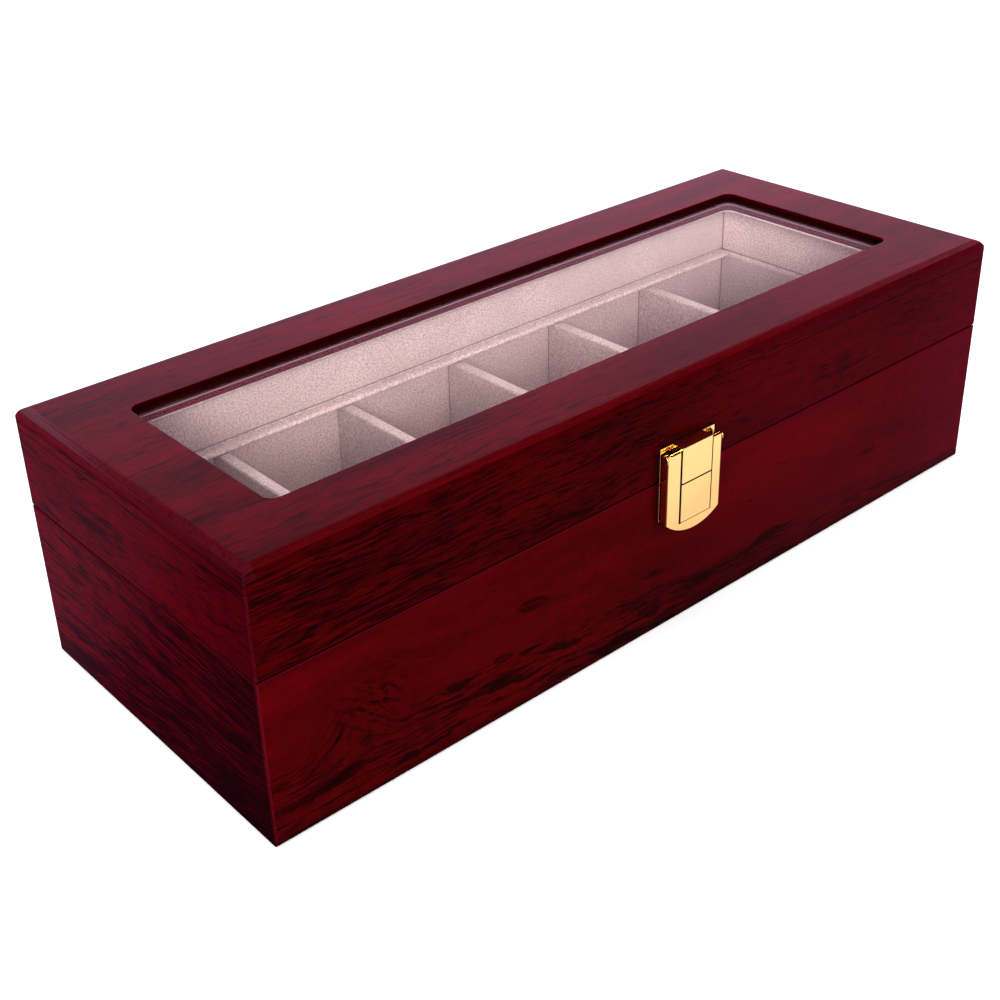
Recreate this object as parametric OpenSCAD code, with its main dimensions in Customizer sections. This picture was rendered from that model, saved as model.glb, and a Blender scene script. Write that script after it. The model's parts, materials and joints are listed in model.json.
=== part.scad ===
// Lidded organizer box: a lacquered wooden box with a glazed lid, a velvet lining, a row of equal
// compartments, two stop hinges at the back and a flap latch at the front.
// Millimetres. The origin is the middle of the underside, +X runs to the right along the box,
// +Y to the back and +Z up. The latch is on the -Y side.

/* [Box] */
// Length of the box, left to right
box_l = 310; // [260:1:360]
// Width of the box, front to back, without latch and hinges
box_w = 121.5; // [112:0.5:140]
// Height of the closed box
box_h = 86; // [82:1:100]
// Height of the seam between base and lid
seam_z = 53.3; // [50:0.1:56]
// Gap between the closed base and the lid
seam_gap = 0.1; // [0.05:0.05:0.2]
// Rounding of the upright corners
corner_r = 1.3; // [0.5:0.1:3]
// Rounding of the lid's upper edges
top_edge_r = 4; // [2:0.5:5]
// Rounding of the lid's edges at the seam
lid_seam_r = 1.2; // [0.5:0.1:2]
// Rounding of the base's edges at the seam
base_seam_r = 0.7; // [0.3:0.1:2]
// Rounding of the base's bottom edges
bottom_r = 1; // [0.5:0.1:2]

/* [Boards] */
// Thickness of the base's side boards
wall_t = 9.5; // [8.5:0.5:11]
// Play between the base's standing lip and the lid's boards
lip_play = 0.4; // [0.2:0.1:0.6]
// Thickness of the lid's top panel
panel_t = 6.5; // [6.5:0.5:9]
// Thickness of the floor panel
floor_t = 4; // [3:0.5:6]
// Depth of the rebate that holds the floor panel
floor_rebate = 3; // [2:0.5:4]
// Thickness of the felt under the floor
felt_t = 1; // [0.6:0.1:1.5]

/* [Window] */
// Width of the top panel's rails round the window
rail_w = 24.2; // [22:0.2:30]
// Rounding of the window's corners
window_r = 3.5; // [2:0.5:6]
// Depth of the glass below the top face
glass_drop = 1.8; // [1.5:0.1:2]
// Thickness of the glass
glass_t = 2.4; // [2:0.1:2.8]
// Thickness of the seal between the glass and its beads
seal_t = 0.3; // [0.2:0.1:0.5]
// Width of the rebate that holds the glass and its beads
glass_rebate = 5; // [4:0.5:6]
// Play round the glass in its rebate
glass_play = 0.5; // [0.3:0.1:1]

/* [Lining] */
// Distance from the box's outside to the face of the lining
lining_inset = 12; // [11.5:0.1:13.5]
// Thickness of the lining on the floor and under the top panel
lining_flat_t = 2; // [1:0.2:3]
// Height of the standing lip above the seam
lip_h = 3; // [2:0.2:4]
// Gap between the lip and the lid's lining
lip_gap = 0.15; // [0.1:0.05:1]
// Depth of the ledges that hold the dividers' ends
ledge_d = 4.3; // [3:0.1:6]
// Thickness of the ledges
ledge_t = 1.8; // [1.2:0.1:2.5]

/* [Dividers] */
// Thickness of a divider
divider_t = 4.2; // [3:0.1:6]

/* [Hinges] */
// Distance from the middle of the box to the middle of a hinge
hinge_x = 95; // [70:1:105]
// Width of a hinge
hinge_w = 24; // [20:1:30]
// Radius of the hinge's barrel
barrel_r = 2; // [1.8:0.1:2.4]
// Radius of the hinge's pin
hinge_pin_r = 0.9; // [0.7:0.05:1]
// Thickness of a hinge leaf
leaf_t = 1; // [0.8:0.1:1.2]
// Opening angle at which the stop fins meet
lid_open = 95; // [90:1:100]

/* [Latch] */
// Width of the latch
latch_w = 23.8; // [20:0.2:28]
// Height of the latch's plates above and below the seam
plate_h = 12.1; // [11.5:0.1:14]
// Thickness of the latch's plates
plate_t = 1.1; // [0.8:0.1:1.3]
// Distance from the box to the front of the flap
flap_front = 5; // [4.8:0.1:5.5]
// How far the centre plates stand in front of the flap
centre_proud = 0.4; // [0.2:0.1:0.6]
// Width of the centre plates
centre_w = 13.2; // [11:0.2:14]
// Gap between the centre plates and the flap's arms
centre_gap = 0.6; // [0.4:0.1:0.8]
// Sheet thickness of the flap
flap_t = 1; // [0.8:0.1:1.1]

/* [Hidden] */
$fn = 64;
wood = "#5c0a17";
velvet = "#dcc0bf";
felt = "#3a1216";
gold = "#f0c878";
seal = "#cfc9c2";
glass_tint = [0.85, 0.92, 0.92, 0.35];

// Clearance of pins in their bores and of screws and nails in their pilot holes
fit = 0.05;
// How far a cut reaches past the solid that it cuts
over = 1;
// How far two shapes of one piece reach into each other
bite = 0.1;
// How much deeper a pilot hole is than its screw or nail
hole_extra = 0.5;

base_top = seam_z - seam_gap / 2;
lid_low = seam_z + seam_gap / 2;
panel_z = box_h - panel_t;
lid_wall_t = wall_t - lip_play;
lining_t = lining_inset - wall_t;
inner_l = box_l - 2 * lining_inset;
inner_w = box_w - 2 * lining_inset;

// Levels inside the base
floor_top = felt_t + floor_t;
pad_top = floor_top + lining_flat_t;
lip_top = seam_z + lip_h;
divider_top = lip_top - ledge_t;

// Levels inside the lid
lid_lining_z = lip_top + lip_gap;
ceiling_z = panel_z - lining_flat_t / 2;
glass_top = box_h - glass_drop;
glass_low = glass_top - glass_t;
seal_low = glass_low - seal_t;
window_l = box_l - 2 * rail_w;
window_w = box_w - 2 * rail_w;

divider_count = 5;
slot_w = (inner_l - divider_count * divider_t) / (divider_count + 1);

// Hinge: the axis lies at seam height, just behind the back face
barrel_clear = 0.1;
hinge_y = box_w / 2 + barrel_clear + barrel_r;
leaf_inset = 1.2;
leaf_set_in = 0.15;
leaf_in = box_w / 2 - wall_t + leaf_inset;
leaf_out = box_w / 2 - leaf_set_in;
knuckle_gap = 0.1;
middle_w = hinge_w / 3;
fin_len = 1.9;
fin_t = 0.8;
fin_gap = 0.15;
fin_reach = 3;
fin_root = 0.6;
// Each fin's angle to the level, so that their faces meet just past lid_open
fin_spare = 0.5;
fin_half = atan(fin_t / 2 / (barrel_r + fin_gap));
fin_angle = (lid_open + fin_spare) / 2 + fin_half;
pin_head_t = 0.5;
pin_head_r = barrel_r * 0.75;
screw_r = 0.9;
screw_head_r = 1.9;
screw_len = 8;
screw_slot_w = 0.5;
screw_slot_d = 0.4;
screw_x = hinge_w / 3;
screw_y = (leaf_in + leaf_out) / 2;

// Latch: depths are measured forward from the box's front face
front_y = -box_w / 2;
latch_top = seam_z + plate_h;
latch_low = seam_z - plate_h - 0.7;
plate_split = 0.15;
centre_front = flap_front + centre_proud;
centre_edge_r = 0.4;
sharp_r = 0.01;
block_low = seam_z + 0.2;
flap_top = latch_top - 1.2;
centre_low = seam_z - 13.2;
centre_top = seam_z - 0.3;
flap_low = seam_z - 17.3;
flap_arc_r = 18.3;
flap_edge_r = 1.5;
flange_low = flap_low + 5;
slot_low = centre_low - centre_gap;
arm_in = centre_w / 2 + centre_gap;
backing_back = 3.2;
flange_back = 1.7;
pivot_d = 3.2;
pivot_z = latch_top - 2.8;
pivot_r = 0.9;
pivot_head_r = 1.3;
pivot_head_t = 0.3;
nose_w = 10;
nose_h = 5;
nose_z = seam_z - 9.3;
nose_front = 2.8;
nose_edge_r = 0.8;
nail_x = (arm_in + latch_w / 2 - flap_t) / 2;
nail_r = 0.8;
nail_head_r = 1.4;
nail_head_t = 0.4;
nail_len = 7;
nail_up = 5;
nail_down = 6;

// ---------- outlines ----------

// Rectangle centred on X, standing on Y = 0, with its own rounding at the bottom and at the top
module standing_outline(w, h, r_low, r_high) {
    translate([-w / 2, r_low]) square([w, h - r_low - r_high]);
    translate([-w / 2 + r_low, 0]) square([w - 2 * r_low, h / 2]);
    translate([-w / 2 + r_high, h / 2]) square([w - 2 * r_high, h / 2]);
    for (s = [-1, 1]) {
        translate([s * (w / 2 - r_low), r_low]) circle(r_low);
        translate([s * (w / 2 - r_high), h - r_high]) circle(r_high);
    }
}

// Rectangle centred on both axes with equal rounding
module centred_outline(l, w, r) {
    translate([0, -w / 2]) standing_outline(l, w, r, r);
}

// Block of the box's full length and width whose edges are rounded all round
module rounded_block(z_low, z_high, r_low, r_high) {
    h = z_high - z_low;
    translate([0, 0, z_low])
        intersection() {
            linear_extrude(h) centred_outline(box_l, box_w, corner_r);
            translate([0, box_w / 2 + over, 0]) rotate([90, 0, 0])
                linear_extrude(box_w + 2 * over) standing_outline(box_l, h, r_low, r_high);
            translate([-box_l / 2 - over, 0, 0]) rotate([90, 0, 90])
                linear_extrude(box_l + 2 * over) standing_outline(box_w, h, r_low, r_high);
        }
}

// The part of the plan that belongs to one side, cut along the mitre lines
module side_region(side) {
    l = box_l / 2;
    w = box_w / 2;
    if (side == "front" || side == "back")
        mirror([0, side == "back" ? 1 : 0])
            polygon([[-l - over, -w - over], [l + over, -w - over], [l - w, 0], [w - l, 0]]);
    else
        mirror([side == "right" ? 1 : 0, 0])
            polygon([[-l - over, -w - over], [w - l, 0], [-l - over, w + over]]);
}

module side_column(side) {
    translate([0, 0, -over]) linear_extrude(box_h + 2 * over) side_region(side);
}

module box_at(x, y, z) {
    translate([x[0], y[0], z[0]]) cube([x[1] - x[0], y[1] - y[0], z[1] - z[0]]);
}

module centred_box(l, w, z_low, z_high) {
    box_at([-l / 2, l / 2], [-w / 2, w / 2], [z_low, z_high]);
}

// ---------- base ----------

module base_board(side) {
    color(wood)
        difference() {
            intersection() {
                rounded_block(0, base_top, bottom_r, base_seam_r);
                side_column(side);
            }
            centred_box(box_l - 2 * wall_t, box_w - 2 * wall_t, -over, box_h);
            centred_box(box_l - 2 * (wall_t - floor_rebate), box_w - 2 * (wall_t - floor_rebate),
                -over, floor_top);
            if (side == "front") latch_nail_holes(seam_z - nail_down);
            if (side == "back") hinge_pockets(-1);
        }
}

module base_front_board() { base_board("front"); }
module base_back_board() { base_board("back"); }
module base_left_board() { base_board("left"); }
module base_right_board() { base_board("right"); }

module base_floor_panel() {
    color(wood)
        centred_box(box_l - 2 * (wall_t - floor_rebate), box_w - 2 * (wall_t - floor_rebate),
            felt_t, floor_top);
}

module underside_felt() {
    color(felt)
        centred_box(box_l - 2 * (wall_t - floor_rebate), box_w - 2 * (wall_t - floor_rebate),
            0, felt_t);
}

// ---------- lining ----------

// One wall of lining: the long walls run through and the end walls stand between them
module wall_lining(side, t, z_low, z_high) {
    turn = side == "front" || side == "left" ? 0 : 180;
    color(velvet)
        rotate([0, 0, turn])
            if (side == "front" || side == "back")
                box_at([-inner_l / 2 - t, inner_l / 2 + t], [-inner_w / 2 - t, -inner_w / 2],
                    [z_low, z_high]);
            else
                box_at([-inner_l / 2 - t, -inner_l / 2], [-inner_w / 2, inner_w / 2],
                    [z_low, z_high]);
}

module base_lining_front() { wall_lining("front", lining_t, pad_top, lip_top); }
module base_lining_back() { wall_lining("back", lining_t, pad_top, lip_top); }
module base_lining_left() { wall_lining("left", lining_t, pad_top, lip_top); }
module base_lining_right() { wall_lining("right", lining_t, pad_top, lip_top); }

module floor_lining() {
    color(velvet)
        centred_box(box_l - 2 * wall_t, box_w - 2 * wall_t, floor_top, pad_top);
}

// Strip over the dividers' ends, with a rounded inner edge
module ledge() {
    edge_r = ledge_t / 3;
    color(velvet)
        translate([-inner_l / 2, -inner_w / 2, divider_top])
            rotate([90, 0, 90])
                linear_extrude(inner_l) {
                    square([ledge_d - edge_r, ledge_t]);
                    square([ledge_d, ledge_t - edge_r]);
                    translate([ledge_d - edge_r, ledge_t - edge_r]) circle(edge_r);
                }
}

module ledge_front() { ledge(); }
module ledge_back() { rotate([0, 0, 180]) ledge(); }

module divider(number) {
    x = -inner_l / 2 + number * slot_w + (number - 0.5) * divider_t;
    r = divider_t / 2;
    color(velvet)
        translate([x, inner_w / 2, pad_top]) rotate([90, 0, 0])
            linear_extrude(inner_w) {
                translate([-r, 0]) square([divider_t, divider_top - pad_top - r]);
                translate([0, divider_top - pad_top - r]) circle(r);
            }
}

// ---------- lid ----------

module lid_board(side) {
    color(wood)
        difference() {
            intersection() {
                rounded_block(lid_low, box_h, lid_seam_r, top_edge_r);
                side_column(side);
                centred_box(box_l, box_w, 0, panel_z);
            }
            centred_box(box_l - 2 * lid_wall_t, box_w - 2 * lid_wall_t, 0, box_h);
            if (side == "front") latch_nail_holes(seam_z + nail_up);
            if (side == "back") hinge_pockets(1);
        }
}

module lid_front_board() { lid_board("front"); }
module lid_back_board() { lid_board("back"); }
module lid_left_board() { lid_board("left"); }
module lid_right_board() { lid_board("right"); }

module lid_top_panel() {
    color(wood)
        difference() {
            intersection() {
                rounded_block(lid_low, box_h, lid_seam_r, top_edge_r);
                centred_box(box_l, box_w, panel_z, box_h + over);
            }
            translate([0, 0, panel_z - over]) linear_extrude(panel_t + 2 * over)
                centred_outline(window_l, window_w, window_r);
            centred_box(window_l + 2 * glass_rebate, window_w + 2 * glass_rebate,
                panel_z - over, glass_top);
        }
}

module glass_pane() {
    spread = 2 * (glass_rebate - glass_play);
    color(glass_tint)
        centred_box(window_l + spread, window_w + spread, glass_low, glass_top);
}

module glazing_bead(side) {
    color(wood)
        intersection() {
            difference() {
                centred_box(window_l + 2 * glass_rebate, window_w + 2 * glass_rebate,
                    panel_z, seal_low);
                translate([0, 0, panel_z - over]) linear_extrude(panel_t)
                    centred_outline(window_l, window_w, window_r);
            }
            side_column(side);
        }
}

module glazing_bead_front() { glazing_bead("front"); }
module glazing_bead_back() { glazing_bead("back"); }
module glazing_bead_left() { glazing_bead("left"); }
module glazing_bead_right() { glazing_bead("right"); }

// Thin pale strip all round, between the glass and its beads
module glazing_seal() {
    spread = 2 * (glass_rebate - glass_play);
    color(seal)
        difference() {
            centred_box(window_l + spread, window_w + spread, seal_low, glass_low);
            translate([0, 0, seal_low - over]) linear_extrude(seal_t + 2 * over)
                centred_outline(window_l, window_w, window_r);
        }
}

module lid_lining_front() { wall_lining("front", lining_inset - lid_wall_t, lid_lining_z, ceiling_z); }
module lid_lining_back() { wall_lining("back", lining_inset - lid_wall_t, lid_lining_z, ceiling_z); }
module lid_lining_left() { wall_lining("left", lining_inset - lid_wall_t, lid_lining_z, ceiling_z); }
module lid_lining_right() { wall_lining("right", lining_inset - lid_wall_t, lid_lining_z, ceiling_z); }

module lid_ceiling_lining() {
    color(velvet)
        difference() {
            centred_box(box_l - 2 * lid_wall_t, box_w - 2 * lid_wall_t, ceiling_z, panel_z);
            linear_extrude(box_h) centred_outline(window_l, window_w, window_r);
        }
}

// ---------- hinges ----------

// Pockets for the leaves and pilot holes for their screws; up is 1 in the lid and -1 in the base
module hinge_pockets(up) {
    face = seam_z + up * seam_gap / 2;
    for (s = [-1, 1]) {
        box_at([s * hinge_x - hinge_w / 2, s * hinge_x + hinge_w / 2], [leaf_in, box_w],
            up > 0 ? [face - over, face + leaf_t] : [face - leaf_t, face + over]);
        for (q = [-1, 1])
            translate([s * hinge_x + q * screw_x, screw_y, face])
                mirror([0, 0, up > 0 ? 0 : 1]) cylinder(r = screw_r + fit, h = screw_len + hole_extra);
    }
}

module knuckle(x_low, x_high) {
    translate([x_low, hinge_y, seam_z]) rotate([0, 90, 0]) cylinder(r = barrel_r, h = x_high - x_low);
}

// Radial fin on the barrel; it stands clear of the neighbouring knuckle and meets the other fin
module stop_fin(x_low, x_high, angle) {
    translate([0, hinge_y, seam_z]) rotate([angle, 0, 0])
        translate([x_low, barrel_r + fin_gap, -fin_t / 2])
            cube([x_high - x_low, fin_len, fin_t]);
}

// Foot that joins a fin to its own knuckle
module fin_foot(x_low, x_high, angle) {
    translate([0, hinge_y, seam_z]) rotate([angle, 0, 0])
        translate([x_low, barrel_r - fin_root, -fin_t / 2])
            cube([x_high - x_low, fin_root + fin_gap, fin_t]);
}

// Knuckle spans of the two leaves, measured from the hinge's middle
function knuckle_spans(up) = up > 0
    ? [[-middle_w / 2, middle_w / 2]]
    : [[-hinge_w / 2, -middle_w / 2 - knuckle_gap], [middle_w / 2 + knuckle_gap, hinge_w / 2]];

module hinge_leaf(side, up) {
    leaf_z = up > 0 ? [lid_low, lid_low + leaf_t] : [base_top - leaf_t, base_top];
    face = up > 0 ? lid_low : base_top;
    color(gold)
        translate([side * hinge_x, 0, 0])
            difference() {
                union() {
                    box_at([-hinge_w / 2, hinge_w / 2], [leaf_in, leaf_out], leaf_z);
                    for (span = knuckle_spans(up)) {
                        box_at(span, [leaf_out - bite, hinge_y], leaf_z);
                        knuckle(span[0], span[1]);
                        fin_foot(span[0], span[1], up * fin_angle);
                        stop_fin(span[0], span[1], up * fin_angle);
                    }
                    if (up > 0)
                        stop_fin(-middle_w / 2 - fin_reach, middle_w / 2 + fin_reach, fin_angle);
                }
                translate([-hinge_w, hinge_y, seam_z]) rotate([0, 90, 0])
                    cylinder(r = hinge_pin_r + fit, h = 2 * hinge_w);
                for (q = [-1, 1])
                    translate([q * screw_x, screw_y, face]) mirror([0, 0, up > 0 ? 0 : 1])
                        screw_shape(fit);
            }
}

module hinge_left_base_leaf() { hinge_leaf(-1, -1); }
module hinge_right_base_leaf() { hinge_leaf(1, -1); }
module hinge_left_lid_leaf() { hinge_leaf(-1, 1); }
module hinge_right_lid_leaf() { hinge_leaf(1, 1); }

module hinge_pin(side) {
    color(gold)
        translate([side * hinge_x - hinge_w / 2 - pin_head_t, hinge_y, seam_z]) rotate([0, 90, 0]) {
            cylinder(r = hinge_pin_r, h = hinge_w + 2 * pin_head_t);
            cylinder(r = pin_head_r, h = pin_head_t - fit);
            translate([0, 0, hinge_w + pin_head_t + fit])
                cylinder(r = pin_head_r, h = pin_head_t - fit);
        }
}

module hinge_left_pin() { hinge_pin(-1); }
module hinge_right_pin() { hinge_pin(1); }

// Countersunk wood screw, head on Z = 0, pointing up; grow widens it into its hole
module screw_shape(grow) {
    head_h = screw_head_r - screw_r;
    cylinder(r1 = screw_head_r + grow, r2 = screw_r + grow, h = head_h);
    translate([0, 0, head_h]) cylinder(r = screw_r + grow, h = screw_len - head_h);
}

module hinge_screws(up) {
    face = up > 0 ? lid_low : base_top;
    color(gold)
        for (s = [-1, 1], q = [-1, 1])
            translate([s * hinge_x + q * screw_x, screw_y, face]) mirror([0, 0, up > 0 ? 0 : 1])
                difference() {
                    screw_shape(0);
                    screw_slot();
                }
}

// Slot across the screw's head
module screw_slot() {
    translate([-screw_head_r - over, -screw_slot_w / 2, -over])
        cube([2 * screw_head_r + 2 * over, screw_slot_w, over + screw_slot_d]);
}

module hinge_base_screws() { hinge_screws(-1); }
module hinge_lid_screws() { hinge_screws(1); }

// ---------- latch ----------

// A solid standing in front of the box: x and z ranges, and depths forward of the front face
module latch_box(x, d, z) {
    box_at(x, [front_y - d[1], front_y - d[0]], z);
}

// An upright prism whose plan is rounded at its two front corners
module rounded_front(w, d, z, r) {
    translate([0, front_y - d[0], z[0]]) mirror([0, 1, 0])
        linear_extrude(z[1] - z[0]) standing_outline(w, d[1] - d[0], sharp_r, r);
}

module pivot_bore(r, reach) {
    translate([-reach, front_y - pivot_d, pivot_z]) rotate([0, 90, 0]) cylinder(r = r, h = 2 * reach);
}

// Holes for a plate's two nails, through the plate and into the board
module latch_nail_holes(z) {
    for (s = [-1, 1])
        translate([s * nail_x, front_y - plate_t - over, z]) rotate([-90, 0, 0])
            cylinder(r = nail_r + fit, h = plate_t + over + nail_len + hole_extra);
}

module latch_nails(z) {
    color(gold)
        for (s = [-1, 1])
            translate([s * nail_x, front_y - plate_t, z]) rotate([-90, 0, 0]) {
                cylinder(r = nail_r, h = plate_t + nail_len);
                translate([0, 0, -nail_head_t]) cylinder(r = nail_head_r, h = nail_head_t);
            }
}

module latch_lid_plate() {
    color(gold)
        difference() {
            union() {
                latch_box([-latch_w / 2, latch_w / 2], [0, plate_t], [seam_z + plate_split, latch_top]);
                rounded_front(centre_w, [plate_t - bite, centre_front], [block_low, latch_top],
                    centre_edge_r);
            }
            pivot_bore(pivot_r + fit, latch_w);
            latch_nail_holes(seam_z + nail_up);
        }
}

module latch_keeper_plate() {
    color(gold)
        difference() {
            union() {
                latch_box([-latch_w / 2, latch_w / 2], [0, plate_t], [latch_low, seam_z - plate_split]);
                rounded_front(nose_w, [plate_t - bite, nose_front], [nose_z, nose_z + nose_h],
                    nose_edge_r);
            }
            latch_nail_holes(seam_z - nail_down);
        }
}

module latch_lid_nails() { latch_nails(seam_z + nail_up); }
module latch_keeper_nails() { latch_nails(seam_z - nail_down); }

// Front view of the flap: straight sides and an arched lower end
module flap_outline(z_high) {
    intersection() {
        translate([-latch_w / 2, flap_low - over]) square([latch_w, z_high - flap_low + over]);
        translate([0, flap_low + flap_arc_r]) circle(flap_arc_r);
    }
}

// Side view of a flange: its upper end is round about the pivot
module flange_outline() {
    arc_r = pivot_d - flange_back;
    translate([flange_back, flange_low]) square([flap_front - flange_back, pivot_z - flange_low]);
    translate([pivot_d, pivot_z - over]) square([flap_front - pivot_d, flap_top - pivot_z + over]);
    translate([pivot_d, pivot_z]) circle(arc_r);
}

// A front view drawn in X and Z, made solid between two depths
module latch_slab(d) {
    translate([0, front_y - d[0], 0]) rotate([90, 0, 0]) linear_extrude(d[1] - d[0]) children();
}

module flap_shell() {
    latch_slab([flap_front - flap_t, flap_front])
        difference() {
            flap_outline(flap_top);
            translate([-arm_in, slot_low]) square([2 * arm_in, box_h]);
        }
    latch_slab([backing_back, flap_front - flap_t + bite]) flap_outline(centre_top);
    for (s = [-1, 1])
        translate([s * (latch_w - flap_t) / 2 - flap_t / 2, front_y, 0])
            mirror([0, 1, 0]) rotate([90, 0, 90]) linear_extrude(flap_t) flange_outline();
}

module latch_flap() {
    color(gold)
        difference() {
            intersection() {
                flap_shell();
                rounded_front(latch_w, [0, flap_front], [0, box_h], flap_edge_r);
            }
            pivot_bore(pivot_r + fit, latch_w);
            latch_box([-centre_w / 2, centre_w / 2], [flap_front - flap_t, centre_front],
                [centre_low, box_h]);
        }
}

module latch_flap_plate() {
    color(gold)
        rounded_front(centre_w, [flap_front - flap_t, centre_front], [centre_low, centre_top],
            centre_edge_r);
}

module latch_pivot_pin() {
    reach = latch_w / 2 + fit;
    color(gold) {
        pivot_bore(pivot_r, reach + pivot_head_t);
        for (s = [-1, 1])
            translate([s * (reach + pivot_head_t / 2) - pivot_head_t / 2, front_y - pivot_d, pivot_z])
                rotate([0, 90, 0]) cylinder(r = pivot_head_r, h = pivot_head_t);
    }
}

// ---------- nodes ----------

base_front_board();
base_back_board();
base_left_board();
base_right_board();
base_floor_panel();
underside_felt();
floor_lining();
base_lining_front();
base_lining_back();
base_lining_left();
base_lining_right();
ledge_front();
ledge_back();
divider(1);  // divider_1
divider(2);  // divider_2
divider(3);  // divider_3
divider(4);  // divider_4
divider(5);  // divider_5
hinge_left_base_leaf();
hinge_right_base_leaf();
hinge_left_pin();
hinge_right_pin();
hinge_base_screws();
latch_keeper_plate();
latch_keeper_nails();
lid_top_panel();
lid_front_board();
lid_back_board();
lid_left_board();
lid_right_board();
glass_pane();
glazing_bead_front();
glazing_bead_back();
glazing_bead_left();
glazing_bead_right();
glazing_seal();
lid_lining_front();
lid_lining_back();
lid_lining_left();
lid_lining_right();
lid_ceiling_lining();
hinge_left_lid_leaf();
hinge_right_lid_leaf();
hinge_lid_screws();
latch_lid_plate();
latch_lid_nails();
latch_flap();
latch_flap_plate();
latch_pivot_pin();
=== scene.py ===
"""Looks for a lidded organizer box: a lacquered rosewood box with a glazed lid, a velvet lining,
a row of compartments, stop hinges and a gold flap latch. Metres, in the CAD model's own frame:
+X along the box, +Y to the hinges, +Z up, and the origin in the middle of the underside."""

import json
import math

import bmesh
import bpy
from mathutils import Matrix, Vector, noise


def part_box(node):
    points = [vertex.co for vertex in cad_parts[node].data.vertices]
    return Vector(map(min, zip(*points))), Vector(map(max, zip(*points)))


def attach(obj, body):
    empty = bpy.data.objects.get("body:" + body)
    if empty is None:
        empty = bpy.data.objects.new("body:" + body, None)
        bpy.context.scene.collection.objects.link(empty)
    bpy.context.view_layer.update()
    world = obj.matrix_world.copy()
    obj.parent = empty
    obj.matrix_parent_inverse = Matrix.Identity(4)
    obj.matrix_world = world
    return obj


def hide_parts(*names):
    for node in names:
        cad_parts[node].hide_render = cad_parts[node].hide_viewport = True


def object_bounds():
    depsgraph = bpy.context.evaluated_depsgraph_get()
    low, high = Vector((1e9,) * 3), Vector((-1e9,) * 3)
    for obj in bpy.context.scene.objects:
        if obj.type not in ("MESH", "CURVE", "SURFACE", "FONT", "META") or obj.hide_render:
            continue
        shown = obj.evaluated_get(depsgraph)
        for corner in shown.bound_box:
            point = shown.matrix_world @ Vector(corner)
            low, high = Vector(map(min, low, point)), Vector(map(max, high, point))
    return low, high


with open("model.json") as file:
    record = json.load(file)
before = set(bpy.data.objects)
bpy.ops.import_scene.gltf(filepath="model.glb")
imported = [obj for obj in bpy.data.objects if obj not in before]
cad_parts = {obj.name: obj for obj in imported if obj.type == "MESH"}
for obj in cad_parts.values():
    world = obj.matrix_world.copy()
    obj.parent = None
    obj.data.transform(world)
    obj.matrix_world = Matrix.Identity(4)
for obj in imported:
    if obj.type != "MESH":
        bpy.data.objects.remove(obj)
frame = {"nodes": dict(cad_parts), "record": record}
cad_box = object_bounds()

MM = 0.001  # a millimetre in metres

# Places on the box that the materials go by, in millimetres
BOX_X = cad_box[1].x / MM
BOX_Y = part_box("base_back_board")[1].y / MM
BOX_Z = cad_box[1].z / MM
SEAM_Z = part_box("base_left_board")[1].z / MM
DIVIDER_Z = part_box("divider_1")[1].z / MM
LIP_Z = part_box("base_lining_back")[1].z / MM
GLASS_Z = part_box("glass_pane")[0].z / MM
BEAD_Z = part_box("glazing_bead_back")[0].z / MM
TOP_EDGE = 4.0        # width of the rounded edge round the lid's top
LOW_EDGE_FROM = 4.5   # edges this far below the top are the eased upright and seam edges
RAW_WOOD_FROM = 4.5   # this far in from the outside is the raw inside of a board
WINDOW_FROM = 18.0    # this far in from the sides is the edge of the window

# Colours, linear RGBA. Those of the studio are light, so they may pass 1
WOOD_BRIGHT = (0.056, 0.0002, 0.0011, 1)
WOOD_DEEP = (0.026, 0.0002, 0.0007, 1)
WOOD_STREAK = (0.0045, 0.0001, 0.0003, 1)
WOOD_EDGE = (0.046, 0.0002, 0.0011, 1)
# A painted highlight for the eased upright and seam edges
WOOD_LOW_EDGE_PAINTED_HIGHLIGHT = (0.066, 0.0016, 0.0052, 1)
# A painted reflection for the top edges of the ends
WOOD_SIDE_EDGE_PAINTED_REFLECTION = (0.047, 0.0018, 0.0050, 1)
WOOD_BEAD = (0.070, 0.003, 0.007, 1)
# A painted reflection for the right half of the front
WOOD_PAINTED_REFLECTION = (0.090, 0.0022, 0.0120, 1)
VELVET_LOW_NAP = (0.765, 0.562, 0.542, 1)
VELVET_HIGH_NAP = (0.85, 0.645, 0.620, 1)
VELVET_DARK = (0.38, 0.275, 0.265, 1)
VELVET_SHEEN = (0.95, 0.85, 0.85, 1)
FELT_DEEP = (0.030, 0.004, 0.006, 1)
FELT_BRIGHT = (0.085, 0.012, 0.016, 1)
FELT_PATCH = (0.05, 0.008, 0.010, 1)
GOLD_DEEP = (1.0, 0.745, 0.29, 1)
GOLD_PALE = (1.0, 0.79, 0.345, 1)
# Painted light on the latch's lower right, and painted shade in its crevices
GOLD_PAINTED_WARM_LIGHT = (1.0, 0.655, 0.262, 1)
GOLD_PAINTED_CREVICE_SHADE = (0.10, 0.015, 0.02, 1)
SEAL_DEEP = (0.20, 0.155, 0.155, 1)
SEAL_PALE = (0.30, 0.245, 0.24, 1)
# A painted reflection for the seal's face on the glass
SEAL_PAINTED_REFLECTION = (0.045, 0.0008, 0.0020, 1)
GLASS_TINT = (0.985, 0.99, 0.988, 1)
STAGE_DEEP = (0.84, 0.84, 0.84, 1)
STAGE_PALE = (0.87, 0.87, 0.87, 1)
STUDIO_IN_FRONT = (0.85, 0.85, 0.85, 1)
STUDIO_WALL = (3.0, 2.05, 3.0, 1)
STUDIO_WALL_HIGH = (1.6, 1.15, 1.62, 1)
STUDIO_FLOOR = (1.05, 0.90, 0.88, 1)
STUDIO_FLOOR_FAR = (1.15, 1.06, 1.02, 1)
STUDIO_LEFT_FLOOR = (0.18, 0.04, 0.14, 1)
STUDIO_LEFT_FLOOR_FAR = (0.46, 0.29, 0.52, 1)

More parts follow.
